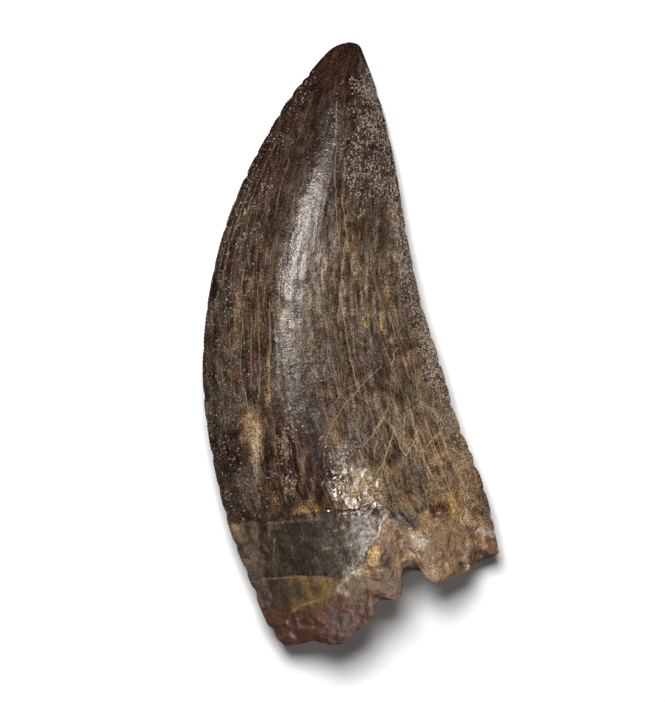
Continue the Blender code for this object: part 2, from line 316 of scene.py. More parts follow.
def under_relief(points, share, across, clearance, grain):
    """Lumps on the underside and the groove where its enamel ends, away from where the tooth rests."""
    end = UNDER_ENAMEL_END + 0.04 * np.sin(9 * across)
    groove = -0.35 * np.exp(-(((share - end) / 0.012) ** 2))
    rough = CROWN_LUMPS + MATRIX_LUMPS * rise(share, 0.9, 1)
    enamel = fall(share, 0.78, 0.8)
    depth = groove + rough * lumps(points + 40, 3.5) + enamel * WRINKLE_DEPTH * wrinkles(grain)
    depth = depth + (1 - enamel) * 0.1 * lumps(points + 5, 1.3)
    return depth * rise(clearance, 0.3, 1.6) * inside_edges(across, 0.06)


def face_points(share, across, upper):
    """Points of the upper or the under face: share runs from the tip, across from left to right."""
    left, right = along(smooth_curve(LEFT_EDGE), share), along(smooth_curve(RIGHT_EDGE), share)
    span = right - left
    width = np.linalg.norm(span, axis=-1)
    inward = span / np.maximum(width, 1e-6)[..., None]

    rim = line_at(TOP_RIM if upper else UNDER_RIM, across) * rise(share, RIM_BLEND_FROM, 1)
    cut = edge_cut(LEFT_CHIPS, share, across, LEFT_LENGTH)
    cut = cut - edge_cut(RIGHT_CHIPS, share, 1 - across, RIGHT_LENGTH)
    place = left + span * across[..., None] + break_direction() * rim[..., None] + inward * cut[..., None]

    flatness = CROWN_FLATNESS + TIP_ROUNDNESS * np.exp(-width / TIP_WIDTH)
    thickness = width * flatness + BASE_EXTRA_THICKNESS * rise(share, 0.55, 0.85)
    above = thickness * SHARE_ABOVE_EDGES
    below = thickness - above
    tilt = read_table(RIGHT_EDGE_RISE, share) * (across - 0.5) * np.clip(width / FULL_RISE_WIDTH, 0, 1)
    edge_height = read_table(UNDER_ARCH, share) + below + tilt
    if upper:
        height = edge_height + above * upper_lens(across, read_table(CREST_PLACE, share))
    else:
        dip = np.exp(-(((across - 0.5) / UNDER_DIP_HALF_WIDTH) ** 2)) * np.sin(np.pi * across)
        dip = dip * UNDER_DIP_DEPTH * rise(share, UNDER_DIP_FROM, 0.75)
        height = edge_height - below * under_lens(across) + dip
    points = np.concatenate([place, height[..., None]], axis=-1)
    grain = grain_place(share, across, upper)
    if upper:
        points[..., 2] += upper_relief(points, share, across, grain)
    else:
        points[..., 2] -= under_relief(points, share, across, height, grain)
    return points, grain


def grain_place(share, across, upper):
    """Where a point lies in millimetres across and along the tooth's growth lines, for the wrinkles."""
    sideways = (across - 0.45) * MIDDLE_WIDTH * (0.35 + 0.65 * rise(share, -0.1, 0.6))
    layer = np.full_like(share, 0 if upper else 60)
    return np.stack([sideways, share * MIDDLE_LENGTH, layer], axis=-1)


def ground_plane(under, share, across):
    """The plane z = a + b x + c y under the three places that the tooth rests on."""
    base = share > BASE_REST_BEGINS
    places = (share < TIP_REST_ENDS, base & (across < 0.5), base & (across > 0.5))
    lowest = np.array([min(under[place], key=lambda point: point[2]) for place in places])
    return np.linalg.solve(np.column_stack([np.ones(3), lowest[:, :2]]), lowest[:, 2])


def break_direction():
    """The direction in the XY plane that the break faces."""
    corners = np.subtract(RIGHT_EDGE[-1], LEFT_EDGE[-1])
    return np.array([corners[1], -corners[0]]) / np.linalg.norm(corners)


def break_points(upper_rim, under_rim, across):
    """The broken face between the two rims, rough, with the hollow of the pulp cavity."""
    down = np.linspace(0, 1, BREAK_ROWS + 1)[:, None]
    points = upper_rim * (1 - down[..., None]) + under_rim * down[..., None]
    inside = np.sin(np.pi * down) * inside_edges(across, 0.08)
    hollow = np.exp(-(((across - 0.47) / 0.26) ** 4)) * np.exp(-(((down - 0.5) / 0.27) ** 4))
    push = BREAK_LUMPS * lumps(points, 4) * inside - HOLLOW_DEPTH * hollow
    push = push + inside * (0.25 * lumps(points, 1.4) + 0.08 * lumps(points, 0.6))
    points[..., :2] += break_direction() * push[..., None]
    return points, hollow


def ring_shares():
    """Shares of the length for the rings, closer together at the tip and at the broken base."""
    fine = np.linspace(0, 1, 2001)
    density = 1 + 2 * np.exp(-((fine / 0.05) ** 2)) + 0.5 * rise(fine, 0.75, 0.9)
    counted = np.concatenate([[0], np.cumsum((density[1:] + density[:-1]) / 2)])
    return np.interp(np.linspace(0, 1, RINGS + 1), counted / counted[-1], fine)


def column_places(count):
    """Places across the face for the columns, a little closer together at its edges."""
    even = np.linspace(0, 1, count + 1)
    return 0.3 * (1 - np.cos(np.pi * even)) / 2 + 0.7 * even


# Colours, as linear red, green and blue

COCOA = (0.03, 0.012, 0.007)
BARK = (0.044, 0.027, 0.017)
BROWN = (0.068, 0.043, 0.028)
STONE = (0.118, 0.084, 0.058)
RUSSET = (0.124, 0.066, 0.03)
FAWN = (0.165, 0.106, 0.058)
TAN = (0.3, 0.18, 0.085)
BUFF = (0.4, 0.29, 0.19)
AMBER = (0.18, 0.1, 0.038)
YELLOW = (0.54, 0.32, 0.1)
RUST = (0.15, 0.062, 0.03)
MAUVE = (0.095, 0.07, 0.056)
MOSS = (0.033, 0.025, 0.016)
PEAT = (0.036, 0.021, 0.013)
SAND = (0.215, 0.108, 0.036)
CREAM = (0.47, 0.3, 0.15)
CHESTNUT = (0.062, 0.034, 0.019)
COAL = (0.03, 0.017, 0.01)
SLATE = (0.088, 0.069, 0.058)
OLIVE = (0.138, 0.07, 0.01)
MUD = (0.05, 0.032, 0.016)
OCHRE = (0.33, 0.2, 0.08)
UMBER = (0.06, 0.032, 0.022)
WINE = (0.08, 0.018, 0.008)
BRICK = (0.086, 0.026, 0.008)
CRYSTAL = (0.52, 0.42, 0.31)
# SPECKLE colours the pale dots, which stand partly for pale grains and partly for painted glints.
SPECKLE = (0.4, 0.32, 0.26)
HAIR_COLOUR = (0.48, 0.35, 0.22)

# Soft patches of the upper face: x, y, half width, half height in millimetres, turn in degrees,
# colour and strength.
PATCHES = [
    (4.8, 18.6, 2.8, 4.6, 8, PEAT, 0.8), (6.1, 0.6, 4.2, 4, 10, BARK, 0.85),
    (-15.8, 0.4, 2.8, 6.6, 4, PEAT, 0.75), (-13.2, 25.5, 2.8, 4.4, -20, COCOA, 0.9),
    (-18.5, 12.5, 1.6, 8, -14, COCOA, 0.7), (3, -8, 4, 4.5, 10, BARK, 0.5),
    (2.6, 38, 0.8, 4.2, 16, SLATE, 0.8), (2, 16.6, 1.1, 1.5, 0, CHESTNUT, 0.9),
    (-0.8, 15.2, 0.35, 2.3, 0, AMBER, 0.8), (-12.2, -11.3, 0.6, 11, 0, AMBER, 0.2),
    (-14, -14.5, 0.9, 4.8, 4, BUFF, 0.4), (-15, -11.4, 1.2, 2.2, 8, TAN, 0.25),
    (7.7, -6.8, 1.5, 3, 8, MOSS, 0.8), (1.5, -12.8, 2.2, 2.4, 0, MAUVE, 0.9),
    (2.3, 3.2, 0.5, 0.9, 20, YELLOW, 0.5), (5.8, 0.4, 0.5, 0.6, 0, BUFF, 0.8),
    (7.8, -1.8, 0.8, 1.6, 10, TAN, 0.7), (-16.6, 3, 0.5, 4.5, 0, TAN, 0.45),
    (-13.4, 2.2, 1, 2.4, 0, AMBER, 0.5), (-13, -2.2, 0.35, 3, 0, COAL, 0.8),
    (-14, -2.8, 0.5, 1.2, 0, RUST, 0.7), (-16.7, -5.2, 0.6, 1.6, 0, RUST, 0.6),
    (-18.6, -6.8, 1.5, 2.4, 0, MOSS, 0.7), (-2.8, -1.9, 1.6, 3.4, 0, MAUVE, 0.7),
    (3, -1.8, 1.6, 3.4, 10, MAUVE, 0.75), (-11.8, -14.8, 0.5, 1, 0, AMBER, 0.9),
    (-18.2, -15.7, 1.5, 2.4, 5, COAL, 0.7), (-12.4, -19.3, 0.6, 2, 0, COAL, 0.9),
    (-10.1, -21.4, 0.7, 2.4, 0, COAL, 0.85), (-8.2, -18.5, 2.6, 4, 0, COAL, 0.55),
    (-11.2, -22.6, 0.32, 3, 0, AMBER, 0.85), (-8.6, -19.8, 0.5, 1.4, 0, AMBER, 0.5),
    (-6.8, -23.9, 2.6, 1.3, 0, AMBER, 0.6), (-6.4, -24.3, 0.7, 0.6, 0, BUFF, 0.5),
    (-5.1, -10.7, 1.8, 2.8, 0, MAUVE, 0.6), (-2.4, -11.9, 0.9, 3.2, 0, OLIVE, 0.55),
    (-5.4, -15.6, 1, 1, 0, BUFF, 0.3), (10.2, -18.5, 0.8, 3.4, 12, STONE, 0.75),
    (6.7, -16.1, 0.7, 1.9, 5, BARK, 0.8), (5.3, -19.2, 1.3, 0.9, 0, AMBER, 0.4),
    (8, -22.7, 0.8, 0.9, 0, RUST, 0.6), (15.4, -23.6, 1.3, 2.4, 14, OCHRE, 0.85),
    (16.9, -22.6, 0.9, 2.2, 14, BUFF, 0.6), (17.6, -26.2, 0.8, 1.4, 14, BUFF, 0.4),
    (6, -15.3, 1.3, 2.6, 5, BARK, 0.9), (8.4, -20, 1, 2.6, 8, BARK, 0.7),
    (12.6, -19.6, 0.7, 2.6, 14, BARK, 0.6), (15.4, -14.6, 0.8, 3.4, 16, BARK, 0.5),
    (10.6, -9, 1.2, 2.4, 14, BARK, 0.6), (9.3, -18.7, 1, 3, 14, MAUVE, 0.7),
    (7.5, -22.7, 1.3, 0.9, 0, RUST, 0.5), (4.8, -20.2, 1.1, 1.3, 0, STONE, 0.7),
    (12.4, -14, 0.9, 2.6, 16, BROWN, 0.6), (14.9, -19, 0.7, 2.4, 16, BROWN, 0.5),
    (11, -22.5, 1, 1.2, 0, BROWN, 0.6), (19.6, -23.5, 0.9, 3, 14, STONE, 0.8),
    (3.2, -8.6, 1.4, 1.6, 0, STONE, 0.7), (12.6, -4.6, 1.6, 3.2, 16, BROWN, 0.7),
    (10.2, 2.6, 1.6, 3.4, 14, BROWN, 0.6), (-3, 8, 3.2, 6, 4, STONE, 0.7),
    (-16.4, 0, 2.6, 7.5, 4, BARK, 0.65), (5.6, -1.6, 3.2, 3.4, 10, BROWN, 0.7),
    (-3.5, -9, 3.6, 4.8, 0, BROWN, 0.7), (-7.6, -18, 5.2, 7, 0, COCOA, 0.95),
    (-9.4, -18, 0.25, 5, 1, FAWN, 0.6), (-7, -18.6, 0.25, 4.4, -1, RUSSET, 0.7),
    (-5.6, -19.6, 0.3, 3.2, -3, FAWN, 0.5), (-17.6, -12.6, 2.2, 2.6, 0, MOSS, 0.7),
    (-6.4, -24.2, 1.8, 1, 0, AMBER, 0.9), (-7.2, -24.6, 0.8, 0.6, 0, YELLOW, 0.6),
    # The BUFF patch at 1.2, -21.6 is a painted sheen on the glossy wrinkled place above the neck.
    (-4.9, -24.4, 0.6, 0.6, 0, YELLOW, 0.5), (1.2, -21.6, 3.8, 3, 0, BUFF, 0.6),
    (-17.4, -8.8, 2, 3.4, 0, STONE, 0.6), (-15.6, -20.6, 1.6, 3.4, 6, STONE, 0.5),
    (-17, -16.2, 1.6, 3.2, 6, COCOA, 0.8), (-12, -15.6, 0.7, 4.2, 0, COAL, 0.8),
    (-14.6, -13, 1.9, 3.6, 3, TAN, 0.45), (-14, -16, 0.8, 2.6, 3, BUFF, 0.4),
    (-13.6, -21.4, 0.5, 2.4, 0, FAWN, 0.6), (3.4, 9, 0.5, 4, 6, BARK, 0.7),
    (6.8, 11, 0.4, 5, 9, FAWN, 0.6), (0.9, 6.5, 0.4, 5, 3, BARK, 0.6),
    (4.6, 3.6, 0.5, 3, 10, TAN, 0.5), (8.8, 6, 0.5, 5, 12, BROWN, 0.7),
    (9.4, 10, 1.6, 9, 10, BARK, 0.6), (6.6, 22.4, 1.6, 3, 8, PEAT, 0.7),
    (0.3, 13, 0.45, 6, 4, AMBER, 0.6), (1.9, 10.4, 0.5, 3, 6, AMBER, 0.6),
    (-10.6, 6.4, 0.7, 4.6, 0, AMBER, 0.55), (-13, 8, 0.6, 4, 0, AMBER, 0.4),
    (5.2, 6.4, 0.6, 3.4, 10, AMBER, 0.45), (-12.4, 6, 2.4, 5, 0, BARK, 0.5),
    (5, 19, 1.8, 3.8, 8, BROWN, 0.8),
]

# Clusters of pale dots, partly powder and partly painted glints: x, y, half width, half height, turn and
# strength.
POWDER_AND_GLINTS = [
    (-8.6, -11.5, 2.4, 3.2, 10, 0.6), (-4.5, -5, 1.4, 1.6, 0, 0.55), (-17.4, -2, 1.2, 2.2, 0, 0.5),
    (-15.8, -8, 1.4, 2.4, 0, 0.35), (-1, -16.5, 3.2, 3.6, 0, 0.75), (-10, -15.8, 1.2, 2.4, 0, 0.7),
    (-8.6, -20.6, 1.6, 2, 0, 0.5), (-19, -13, 1.2, 4, 0, 0.6), (-18.6, -21, 1, 4, 8, 0.5),
    (8.4, 11, 0.8, 4, 10, 0.6), (1.7, 19, 1.6, 0.9, 0, 0.8), (-9.3, -20.5, 1.4, 2.2, 0, 0.4),
    (-16.5, 14, 1, 6, -20, 0.45), (4, -9, 2, 2.4, 0, 0.35),
]

# Pieces of the broken base: colour, strength, lift in millimetres, and the outline.
SHAPES = [
    (OCHRE, 0.5, 0.1, [
        (14.3, -23.9), (15.3, -22.9), (16.3, -24.1), (16.4, -25.9), (15.2, -26.6), (14.3, -25.5),
    ]),
    (RUSSET, 0.8, 0, [
        (-1.9, -36.1), (-1.2, -34.6), (0.4, -33.3), (2.2, -33.6), (2, -36.2), (0.2, -37.6),
    ]),
    (TAN, 0.6, 0.3, [
        (11.6, -26.1), (13.8, -25.8), (16, -26.6), (17.5, -28.4), (17.8, -30.2), (16.6, -32.2),
        (14.9, -33.7), (12.8, -34.9), (11.3, -34.3), (10.2, -32.5), (10.7, -30.2), (11.3, -28.1),
    ]),
    (RUSSET, 0.75, 0.3, [
        (3.1, -33.7), (5.2, -33.1), (6.9, -33.4), (7.5, -34.9), (7.2, -36.7), (5.4, -37.2), (3.1, -36.9),
        (2.2, -35.5),
    ]),
    (CRYSTAL, 0.75, 0.25, [
        (8.3, -26.8), (9.2, -27.9), (10.3, -27.1), (10.6, -28.4), (11.8, -28.9), (10.8, -30), (9.2, -30.6),
        (8.9, -29.2),
    ]),
    (YELLOW, 0.9, 0.35, [
        (2.8, -29.7), (4, -29.4), (4.4, -30.8), (4.1, -32.2), (3.5, -33.1), (2.5, -32.5), (2.2, -31.2),
    ]),
    (UMBER, 0.9, -0.35, [
        (4.4, -30.8), (5.4, -30.5), (6.2, -31.5), (5.9, -32.8), (4.9, -32.7), (4.3, -31.7),
    ]),
    (OCHRE, 0.9, 0.1, [(9.9, -25), (11, -24.4), (11.5, -25.2), (10.6, -26.1), (9.9, -25.9)]),
    (WINE, 0.8, -0.15, [(11.8, -24), (13.1, -23.4), (14, -24.3), (13.4, -25.6), (12.2, -25.6)]),
    (SLATE, 0.95, 0.25, [
        (5, -24.4), (7.8, -24.6), (9.2, -25.1), (10, -26.6), (9.1, -27.7), (7.9, -26.7), (6.8, -25.9),
        (5.2, -25.4),
    ]),
    (CRYSTAL, 0.7, 0.1, [
        (18.7, -27.2), (19.9, -26.9), (21.1, -27.7), (21.5, -28.7), (20.5, -28.4), (19.3, -28.1),
    ]),
    (WINE, 0.85, -0.4, [
        (17.8, -30.9), (19, -30.3), (20.2, -30.8), (20.8, -31.5), (19.3, -31.9), (18.1, -31.8),
    ]),
    (WINE, 0.9, -0.3, [
        (7.2, -31.9), (9, -31.8), (10.7, -32.2), (11, -33.1), (9.3, -32.8), (7.8, -33.1), (7.4, -33.7),
    ]),
    (OLIVE, 0.9, 0, [(-9.1, -34.2), (-1.8, -34.2), (-1.6, -36.6), (-4.6, -38), (-8.6, -39.4), (-9, -37)]),
    (MUD, 0.75, 0, [(-9, -35.6), (-7.5, -35.1), (-6.4, -36), (-6.8, -37.3), (-8.9, -37.4)]),
    (SLATE, 0.6, 0, [(-15.8, -32.4), (-13.3, -32.6), (-13, -35.5), (-13.6, -37.5), (-14.8, -35.4)]),
    (OCHRE, 0.5, 0.15, [(-17.6, -26.4), (-16.4, -26.6), (-16, -28.5), (-17.2, -28.4)]),
]

# Pale and dark veins, and dark lines of painted shade in a cleft and a hole of the base: colour, strength,
# half width and the points they pass.
VEINS = [
    (COAL, 0.9, 0.13, [(7.4, -10.1), (8.1, -9.8), (8.9, -9.3)]),
    (CRYSTAL, 0.8, 0.16, [(5.1, -25), (4.4, -26.4), (3.9, -28), (2.7, -29.5)]),
    (CRYSTAL, 0.6, 0.4, [(2.1, -32.9), (0.4, -33.5), (-1.1, -34.7), (-1.8, -36), (-0.6, -36.6)]),
    (BUFF, 0.55, 0.1, [(-13.1, -34.6), (-11.2, -34.5), (-8.8, -34.2), (-4.6, -34.2), (-1.2, -34.5)]),
    (BUFF, 0.3, 0.12, [(-12, -26.4), (-8.5, -26.1), (-6.3, -25.8), (-4.2, -25.7)]),
    (TAN, 0.5, 0.14, [(-0.2, -36.9), (0.4, -38.2), (0.3, -40.2)]),
    (OCHRE, 0.6, 0.16, [(-8.7, -39.4), (-7.2, -38.4), (-5.2, -37.7)]),
    (BUFF, 0.25, 0.15, [(-7.6, -41.4), (-6.4, -41.7), (-5.2, -41.5)]),
    (CRYSTAL, 0.5, 0.15, [(-9.3, -40.8), (-9.2, -41.4)]),
    (CRYSTAL, 0.4, 0.15, [(-7.8, -40.5), (-7.7, -41.2)]),
    # A dark line of painted shade in the cleft between the matrix lumps.
    (COAL, 0.7, 0.25, [(-8.1, -41.6), (-8, -43.6)]),
    (BARK, 0.8, 0.12, [(14.4, -27.9), (14.2, -29.6), (14.7, -31.2)]),
    (BARK, 0.6, 0.12, [(11.8, -28.2), (12.6, -29), (12.3, -30.4)]),
    # Painted shade in the small hole of the tan piece.
    (COAL, 1, 0.35, [(16, -32.3), (16.4, -32.8)]),
    (CRYSTAL, 0.8, 0.2, [(16.6, -31.6), (17.3, -30.4), (16.9, -29.4)]),
    (BUFF, 0.6, 0.15, [(6.6, -26.4), (7.4, -27.6), (7.8, -29)]),
    (BUFF, 0.3, 0.12, [(-12, -26.5), (-11.9, -28.4)]),
    (BUFF, 0.25, 0.12, [(-11.2, -28.6), (-11.3, -31.6)]),
    (AMBER, 0.7, 0.11, [(-11.7, -9.4), (-11, -13.4), (-11.1, -17), (-10.7, -20.4), (-10.6, -25.2)]),
    (AMBER, 0.8, 0.13, [(-12, -1), (-11.9, -4.5), (-11.8, -8.5)]),
]

# Hair-thin pale scratches of the upper face: strength and the points they pass.
HAIRS = [
    (0.45, [
        (-2.1, 35.5), (-2.2, 31.4), (-2.1, 28.4), (-2.4, 25.2), (-2.2, 21.1), (-2.1, 17.8), (-1.6, 13.7),
    ]),
    (0.5, [(-0.9, 27.2), (-1, 24), (-1.2, 20.3), (-0.7, 15.9), (-0.1, 12.5), (0.2, 10.5)]),
    (0.7, [(-0.6, 15.4), (-1, 13.7), (-1.2, 10.7), (-1.6, 7.8), (-1.9, 3)]),
    (0.6, [(-1.5, 7.8), (-1.2, 4.9), (-0.7, 1.2), (-0.1, -2.2), (0.6, -5.2), (1, -6.6)]),
    (0.7, [(0, 24.6), (1.3, 24.9), (2.8, 24.7)]),
    (0.5, [(4.3, -3.5), (2.9, -4.9), (1.4, -6.4), (-0.8, -8.9), (-2.6, -11.6), (-3.6, -13.9)]),
    (0.3, [(3, -4.2), (0.8, -6), (-1.2, -7), (-3.4, -10.4)]),
    (0.9, [(6.3, -12.6), (5.6, -15), (4.7, -17.5), (4.1, -18.6)]),
    (0.9, [(6.1, -12.2), (7.2, -15.2), (8.1, -16.5), (9.1, -14.7), (9.9, -12.6)]),
    (0.9, [(9.3, -13.4), (10.2, -16.6), (11.3, -19.4), (11.9, -22.3)]),
    (0.8, [(7.8, -10.2), (7.8, -13), (7.6, -15.3)]),
    (0.8, [(8.6, -9.6), (9.6, -13), (10.9, -17.4), (12.8, -21.2)]),
    (0.8, [(10.9, -11.2), (12, -14.4), (13.4, -18.6), (14.4, -21.6)]),
    (0.7, [(12.1, -9.4), (13, -12.6), (14.5, -17), (16.2, -20.3)]),
    (0.7, [(9.6, -8.4), (11.6, -9.7), (13.5, -11.6)]),
    (0.7, [(4.6, -10.8), (3.2, -13.4), (1.6, -15.2)]),
    (0.7, [(5.4, -9.5), (3.9, -12.9), (3.4, -16.4)]),
    (0.8, [(13.2, -13), (11.6, -14.4), (10.6, -16.2)]),
    (0.7, [(14.9, -15.6), (16.6, -16.6), (17.2, -18.4)]),
    (0.8, [(5.6, 4.5), (6.1, 2.4), (6.6, 0.6)]),
    (0.6, [(6.5, 4.5), (7, 2.2), (7.5, 0.1)]),
    (0.9, [(6.7, -0.8), (6.2, -1.7), (6.4, -2.3), (5.9, -3.2)]),
    (0.6, [(8, -3.3), (8.4, -4.4), (8.7, -5.4)]),
    (0.35, [(-14.5, 3.8), (-14.6, -1), (-14.5, -6.2)]),
    (0.45, [(-11.9, 6), (-11.8, 1), (-11.9, -3.4), (-12.2, -9)]),
    (0.4, [(-13.6, 8.4), (-13.5, 2), (-13.3, -4), (-13.5, -8.4)]),
    (0.35, [(-15.6, 6.6), (-16, 0.6), (-16.2, -5.6)]),
    (0.45, [(-15.6, -6.8), (-14.6, -11), (-13.9, -15.6), (-13.7, -20.6)]),
    (0.4, [(-14.4, -8.6), (-13.2, -13.2), (-12.9, -17.2)]),
    (0.25, [(-16.6, 22), (-18, 18.2), (-19.3, 12.4)]),
    (0.35, [(-15, 22.6), (-16.8, 17.9), (-18.3, 12.6), (-19, 8)]),
    (0.25, [(-11, 29.6), (-14, 22.8), (-16, 17.6)]),
    (0.25, [(-9, 27), (-10.4, 22.6), (-11.2, 18.4)]),
]
RANDOM_HAIRS = 170
HAIR_LENGTHS = (0.03, 0.17)
HAIR_ENDS = 0.01
UPPER_SEED = 5
UNDER_SEED = 6


def signed_distance(x, y, line):
    """Distance to the line, negative on its left side, so that it stays straight where it crosses."""
    nearest = np.full(x.shape, np.inf)
    for (start_x, start_y), (end_x, end_y) in zip(line, line[1:]):
        run_x, run_y = end_x - start_x, end_y - start_y
        share = np.clip(((x - start_x) * run_x + (y - start_y) * run_y) / (run_x**2 + run_y**2), 0, 1)
        away_x, away_y = x - start_x - share * run_x, y - start_y - share * run_y
        away = np.copysign(np.hypot(away_x, away_y), away_x * run_y - away_y * run_x)
        nearest = np.where(np.abs(away) < np.abs(nearest), away, nearest)
    return nearest


def outline_depth(x, y, outline):
    """How far inside the closed outline each place lies, negative outside."""
    inside = np.zeros(x.shape, bool)
    ring = [*outline, outline[0]]
    for (start_x, start_y), (end_x, end_y) in zip(ring, ring[1:]):
        if start_y != end_y:
            crossing = start_x + (y - start_y) * (end_x - start_x) / (end_y - start_y)
            inside ^= ((y < start_y) != (y < end_y)) & (x < crossing)
    away = np.abs(signed_distance(x, y, ring))
    return np.where(inside, away, -away)


def patch_mask(x, y, patch):
    centre_x, centre_y, half_width, half_height, turn = patch[:5]
    c, s = math.cos(math.radians(turn)), math.sin(math.radians(turn))
    dx, dy = x - centre_x, y - centre_y
    return np.exp(-(((c * dx + s * dy) / half_width) ** 2) - ((-s * dx + c * dy) / half_height) ** 2)


def hair_fields(points, share, across, drawn, seed, mask):
    """The signed distance in millimetres to the nearest hairline, and how strongly it shows."""
    x, y = points[..., 0], points[..., 1]
    width = np.linalg.norm(points[:, -1, :2] - points[:, 0, :2], axis=-1)[:, None]
    chance = np.random.default_rng(seed)
    lines = []
    for _ in range(RANDOM_HAIRS):
        start = chance.uniform(0.1, 0.84)
        end = start + chance.uniform(*HAIR_LENGTHS)
        place = chance.uniform(0.04, 0.96)
        lean, bend, phase = chance.uniform(-0.3, 0.3), chance.uniform(0, 0.012), chance.uniform(0, 6)
        middle = place + lean * (share - start) * 0.5 + bend * np.sin(share * 40 + phase)
        inside = rise(share, start, start + HAIR_ENDS) * fall(share, end - HAIR_ENDS, end)
        lines.append(((across - middle) * width, mask * inside * chance.uniform(0.05, 0.35)))
    for shown, line in drawn:
        away = signed_distance(x + 0.05 * np.sin(1.9 * y), y, line)
        lines.append((away, np.full(share.shape, shown)))
    nearest, strength = np.full(share.shape, 9), np.zeros(share.shape)
    for away, shown in lines:
        nearer = (np.abs(away) < np.abs(nearest)) & (shown > 0)
        nearest = np.where(nearer, away, nearest)
        strength = np.where(nearer, shown, strength)
    return nearest, strength * fall(np.abs(nearest), 0.25, 0.45)


def paint_over(colours, layers):
    """The colours with each layer's colour laid over them as strongly as its mask says."""
    for colour, mask in layers:
        colours = colours + (np.array(colour) - colours) * np.clip(mask, 0, 1)[..., None]
    return colours


def crown_colours(points, share, across, grain):
    """The enamel's brown, darker at the tip and the front edge and paler towards the base."""
    tone = lumps(grain * [1, 0.2, 1], 3.5)
    blot = lumps(points + 70, 5)
    middle = rise(share, 0.22, 0.42) * rise(across + 0.08 * tone, 0.3, 0.5)
    middle = middle * (1 - 0.7 * rise(share + 0.05 * blot, 0.5, 0.62))
    low_right = rise(share + 0.1 * blot, 0.52, 0.78) * rise(across + 0.15 * blot, 0.5, 0.75)
    corner = rise(share, 0.68, 0.86) * rise(across, 0.7, 0.95)
    edge = fall(across, 0, 0.12)
    margin = fall(across + 0.1 * tone, 0.05, 0.3)
    lower_left = rise(share, 0.6, 0.72) * fall(across, 0.35, 0.55)
    return paint_over(np.zeros(points.shape) + BROWN, [
        (STONE, 0.75 * middle),
        (FAWN, low_right * 0.7),
        (TAN, corner * 0.5),
        (COCOA, edge * (0.8 - 0.6 * rise(share, 0.36, 0.46))),
        (BARK, margin * (0.85 - 0.4 * rise(share, 0.3, 0.6))),
        (BARK, lower_left * 0.8),
        (PEAT, 0.95 * fall(share + 0.08 * tone, 0.2, 0.44)),
        (COCOA, 0.95 * fall(share + 0.06 * tone, 0.04, 0.24)),
    ])


def upper_colours(points, share, across, grain):
    """The crown's colours with the patches, zones, pieces and veins of the upper face."""
    x, y = points[..., 0], points[..., 1]
    zone = zones_of(points)
    band, tan, red, olive, left = (zone[name] for name in ("band", "tan", "red", "olive", "left"))
    smudge = lumps(points * [1, 0.5, 1] + 3, 1.2)
    shift_x, shift_y = x + 0.35 * smudge, y + 0.6 * lumps(points + 13, 1.5)
    coarse = lumps(points + 21, 2.2)
    grit = lumps(points + 33, 0.8)
    flakes, cracks = lumps(points + 47, 0.9, 2), np.abs(lumps(points + 51, 2))
    # sheen marks the right part of the dark band, which is painted paler as a painted sheen.
    sheen = band * rise(x + 2 * coarse, -6, 1)
    layers = []
    for patch in PATCHES:
        mask = patch_mask(shift_x, shift_y, patch) * (1 + 0.5 * smudge)
        layers.append((patch[5], patch[6] * rise(mask, 0.1, 0.75)))
    layers += [
        (MUD, band),
        (MOSS, 0.8 * band * rise(x + coarse, -12, -9)),
        # Painted sheen on the band: paler stone, and pale crumbs that stand partly for painted glints.
        (STONE, sheen * np.clip(0.5 + 1.2 * coarse, 0, 0.9)),
        (BUFF, sheen * np.clip(2.2 * grit - 0.2, 0, 0.65)),
        (FAWN, band * np.clip(1.2 * grit - 0.3, 0, 0.35)),
        (COAL, band * np.clip(1.6 * coarse - 0.2, 0, 0.6)),
        (MUD, olive),
        (BRICK, olive * np.clip(0.3 + 0.9 * coarse, 0, 0.7)),
        (FAWN, left),
        (BARK, left * np.clip(0.3 + 1.4 * coarse, 0, 0.9)),
        (SAND, tan),
        (RUSSET, tan * np.clip(0.9 * coarse, 0, 0.6)),
        (CREAM, tan * np.clip(2 * grit - 0.5, 0, 0.7)),
        (BUFF, 0.8 * tan * rise(flakes, 0.36, 0.5)),
        (UMBER, 0.7 * tan * fall(cracks, 0.02, 0.07)),
        (BRICK, red),
        (COCOA, red * np.clip(0.9 * coarse, 0, 0.6)),
        (TAN, red * np.clip(1.2 * grit - 0.4, 0, 0.4)),
    ]
    for colour, strength, lift, outline in SHAPES:
        depth = outline_depth(x + 0.2 * grit, y + 0.2 * smudge, outline)
        layers.append((colour, strength * rise(depth, -0.12, 0.12) * (1 + 0.4 * grit)))
    for colour, strength, half_width, line in VEINS:
        near = signed_distance(x + 0.12 * smudge, y, line)
        layers.append((colour, strength * np.exp(-((near / half_width) ** 2))))
    return paint_over(crown_colours(points, share, across, grain), layers), zone


def under_colours(points, share, across, grain):
    coarse = lumps(points + 21, 2.4)
    root = rise(share - 0.04 * np.sin(9 * across) + 0.01 * coarse, 0.785, 0.795)
    red = rise(share + 0.03 * coarse, 0.9, 0.93)
    colours = paint_over(crown_colours(points, share, across, grain), [
        (MOSS, root),
        (TAN, root * np.clip(0.4 + 1.2 * coarse, 0, 0.9)),
        (BRICK, red),
    ])
    return colours, root, red


def break_colours(points, across, hollow):
    """A thin dark rim of enamel, brown dentine, and red sandy matrix in the pulp hollow."""
    down = np.linspace(0, 1, points.shape[0])[:, None]
    rim = fall(np.minimum(down, 1 - down) * np.ones_like(across), 0.02, 0.07)
    return paint_over(np.zeros(points.shape) + TAN, [
        (BRICK, np.clip(0.5 + lumps(points + 17, 2.2), 0, 1)),
        (RUST, hollow * 0.8),
        (BUFF, np.clip(1.4 * lumps(points + 3, 0.8) - 0.4, 0, 0.5)),
        (BARK, 0.7 * rim),
    ])


